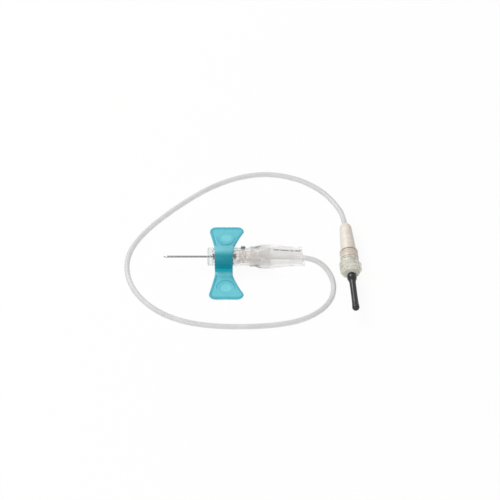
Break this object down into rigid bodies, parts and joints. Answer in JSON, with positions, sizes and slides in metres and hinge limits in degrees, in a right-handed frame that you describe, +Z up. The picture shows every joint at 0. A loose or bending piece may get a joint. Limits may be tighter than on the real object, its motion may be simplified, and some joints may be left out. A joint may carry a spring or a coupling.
{
  "type": "butterfly needle",
  "caption": "Winged needle set: short steel needle in a clear retracting barrel with folding wings, soft tubing, luer connector and rubber-sleeved adapter.",
  "frame": {"origin": "on the surface that the set lies on, under the middle of the line from the needle's tip to the barrel's rear end", "axes": "+X along the barrel from the needle's tip to its rear end, +Z up, wings spread along Y"},
  "size_m": [0.1022, 0.0835, 0.0104],
  "materials": {
    "clear_plastic": "clear moulded polycarbonate, glossy",
    "teal_vinyl": "soft moulded vinyl, semi-gloss, slightly translucent",
    "needle_steel": "drawn stainless tube, satin",
    "spring_steel": "drawn spring wire",
    "hub_plastic": "translucent moulded plastic, warm white",
    "black_plastic": "black moulded plastic, satin",
    "latch_plastic": "natural acetal, satin",
    "soft_tubing": "clear extruded vinyl tubing, soft gloss",
    "cream_plastic": "translucent cream moulded plastic",
    "black_rubber": "black moulded rubber, glossy"
  },
  "bodies": {
    "housing": {"front_barrel": "clear_plastic", "rear_barrel": "clear_plastic", "wing_collar": "teal_vinyl", "retraction_spring": "spring_steel", "release_latch": "latch_plastic"},
    "near_wing": {"wing_near": "teal_vinyl"},
    "far_wing": {"wing_far": "teal_vinyl"},
    "button": {"release_button": "black_plastic"},
    "needle_carrier": {"needle": "needle_steel", "needle_hub": "hub_plastic", "tubing": "soft_tubing", "luer_connector": "cream_plastic"},
    "adapter_set": {"luer_adapter": "clear_plastic", "adapter_needle": "needle_steel", "rubber_sleeve": "black_rubber"}
  },
  "joints": [
    {"name": "near_wing_fold", "type": "hinge", "parent": "housing", "child": "near_wing", "pos_m": [-0.00385, -0.0055, 0.0005], "axis": [-1, 0, 0], "range_deg": [0, 90], "stiffness_Nm_per_rad": 0.0003},
    {"name": "far_wing_fold", "type": "hinge", "parent": "housing", "child": "far_wing", "pos_m": [-0.00385, 0.0055, 0.0005], "axis": [1, 0, 0], "range_deg": [0, 90], "stiffness_Nm_per_rad": 0.0003},
    {"name": "button_press", "type": "slide", "parent": "housing", "child": "button", "axis": [0, -0.5592, -0.829], "range_m": [0, 0.0009], "stiffness_N_per_m": 150, "deforming": ["release_latch"]},
    {"name": "needle_retract", "type": "slide", "parent": "housing", "child": "needle_carrier", "axis": [1, 0, 0], "range_m": [0, 0.0225], "deforming": ["retraction_spring", "release_latch"]},
    {"name": "adapter_pull", "type": "slide", "parent": "needle_carrier", "child": "adapter_set", "axis": [0.0696, -0.996, 0.0558], "range_m": [0, 0.01]}
  ]
}
